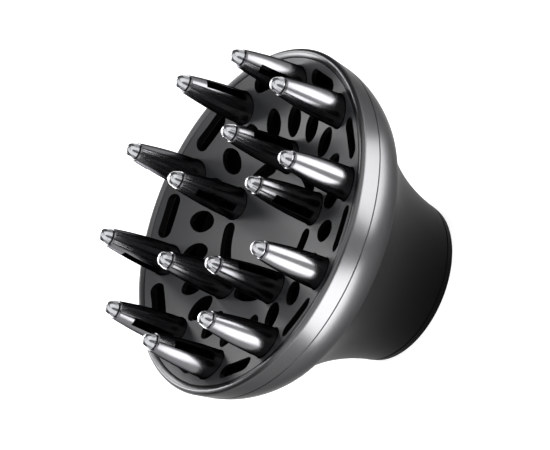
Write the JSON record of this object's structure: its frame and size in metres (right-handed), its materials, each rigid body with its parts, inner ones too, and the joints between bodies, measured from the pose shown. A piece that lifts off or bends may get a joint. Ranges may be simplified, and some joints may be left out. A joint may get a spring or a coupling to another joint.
{
  "type": "hair dryer finger diffuser",
  "caption": "Bell-shaped hair dryer diffuser with a dished, slotted face plate, hollow air fingers with round tips that turn in their seats, and a rubber-lined neck socket.",
  "frame": {"origin": "centre of the neck's end face", "axes": "+Z along the neck and the fingers, towards the finger tips; +X towards the first outer finger"},
  "size_m": [0.137, 0.137, 0.1023],
  "materials": {
    "housing_black": "glossy black moulded ABS",
    "bezel_grey": "satin gunmetal lacquer on moulded ABS",
    "plate_grey": "satin dark grey moulded nylon",
    "rubber_black": "matt black silicone rubber",
    "ring_black": "black moulded plastic",
    "finger_black": "glossy black moulded nylon",
    "tip_bright": "polished dark metallised tip"
  },
  "bodies": {
    "diffuser": {"rear_housing": "housing_black", "bezel_ring": "bezel_grey", "face_plate": "plate_grey", "plate_gasket": "rubber_black", "grip_ring": "rubber_black", "neck_ring": "ring_black"},
    "finger_outer_1": {"finger_outer_1": "finger_black", "ball_tip_outer_1": "tip_bright"},
    "finger_outer_2": {"finger_outer_2": "finger_black", "ball_tip_outer_2": "tip_bright"},
    "finger_outer_3": {"finger_outer_3": "finger_black", "ball_tip_outer_3": "tip_bright"},
    "finger_outer_4": {"finger_outer_4": "finger_black", "ball_tip_outer_4": "tip_bright"},
    "finger_outer_5": {"finger_outer_5": "finger_black", "ball_tip_outer_5": "tip_bright"},
    "finger_outer_6": {"finger_outer_6": "finger_black", "ball_tip_outer_6": "tip_bright"},
    "finger_outer_7": {"finger_outer_7": "finger_black", "ball_tip_outer_7": "tip_bright"},
    "finger_outer_8": {"finger_outer_8": "finger_black", "ball_tip_outer_8": "tip_bright"},
    "finger_outer_9": {"finger_outer_9": "finger_black", "ball_tip_outer_9": "tip_bright"},
    "finger_outer_10": {"finger_outer_10": "finger_black", "ball_tip_outer_10": "tip_bright"},
    "finger_inner_1": {"finger_inner_1": "finger_black", "ball_tip_inner_1": "tip_bright"},
    "finger_inner_2": {"finger_inner_2": "finger_black", "ball_tip_inner_2": "tip_bright"},
    "finger_inner_3": {"finger_inner_3": "finger_black", "ball_tip_inner_3": "tip_bright"},
    "finger_inner_4": {"finger_inner_4": "finger_black", "ball_tip_inner_4": "tip_bright"},
    "finger_inner_5": {"finger_inner_5": "finger_black", "ball_tip_inner_5": "tip_bright"}
  },
  "joints": [
    {"name": "finger_outer_1_turn", "type": "hinge", "parent": "diffuser", "child": "finger_outer_1", "pos_m": [0.0557, 0, 0.0711], "axis": [0, 0, 1], "continuous": true},
    {"name": "finger_outer_2_turn", "type": "hinge", "parent": "diffuser", "child": "finger_outer_2", "pos_m": [0.04506, -0.03274, 0.0711], "axis": [0, 0, 1], "continuous": true},
    {"name": "finger_outer_3_turn", "type": "hinge", "parent": "diffuser", "child": "finger_outer_3", "pos_m": [0.01721, -0.05297, 0.0711], "axis": [0, 0, 1], "continuous": true},
    {"name": "finger_outer_4_turn", "type": "hinge", "parent": "diffuser", "child": "finger_outer_4", "pos_m": [-0.01721, -0.05297, 0.0711], "axis": [0, 0, 1], "continuous": true},
    {"name": "finger_outer_5_turn", "type": "hinge", "parent": "diffuser", "child": "finger_outer_5", "pos_m": [-0.04506, -0.03274, 0.0711], "axis": [0, 0, 1], "continuous": true},
    {"name": "finger_outer_6_turn", "type": "hinge", "parent": "diffuser", "child": "finger_outer_6", "pos_m": [-0.0557, 0, 0.0711], "axis": [0, 0, 1], "continuous": true},
    {"name": "finger_outer_7_turn", "type": "hinge", "parent": "diffuser", "child": "finger_outer_7", "pos_m": [-0.04506, 0.03274, 0.0711], "axis": [0, 0, 1], "continuous": true},
    {"name": "finger_outer_8_turn", "type": "hinge", "parent": "diffuser", "child": "finger_outer_8", "pos_m": [-0.01721, 0.05297, 0.0711], "axis": [0, 0, 1], "continuous": true},
    {"name": "finger_outer_9_turn", "type": "hinge", "parent": "diffuser", "child": "finger_outer_9", "pos_m": [0.01721, 0.05297, 0.0711], "axis": [0, 0, 1], "continuous": true},
    {"name": "finger_outer_10_turn", "type": "hinge", "parent": "diffuser", "child": "finger_outer_10", "pos_m": [0.04506, 0.03274, 0.0711], "axis": [0, 0, 1], "continuous": true},
    {"name": "finger_inner_1_turn", "type": "hinge", "parent": "diffuser", "child": "finger_inner_1", "pos_m": [0.0282, 0, 0.065], "axis": [0, 0, 1], "continuous": true},
    {"name": "finger_inner_2_turn", "type": "hinge", "parent": "diffuser", "child": "finger_inner_2", "pos_m": [0.00871, -0.02682, 0.065], "axis": [0, 0, 1], "continuous": true},
    {"name": "finger_inner_3_turn", "type": "hinge", "parent": "diffuser", "child": "finger_inner_3", "pos_m": [-0.02281, -0.01658, 0.065], "axis": [0, 0, 1], "continuous": true},
    {"name": "finger_inner_4_turn", "type": "hinge", "parent": "diffuser", "child": "finger_inner_4", "pos_m": [-0.02281, 0.01658, 0.065], "axis": [0, 0, 1], "continuous": true},
    {"name": "finger_inner_5_turn", "type": "hinge", "parent": "diffuser", "child": "finger_inner_5", "pos_m": [0.00871, 0.02682, 0.065], "axis": [0, 0, 1], "continuous": true}
  ]
}
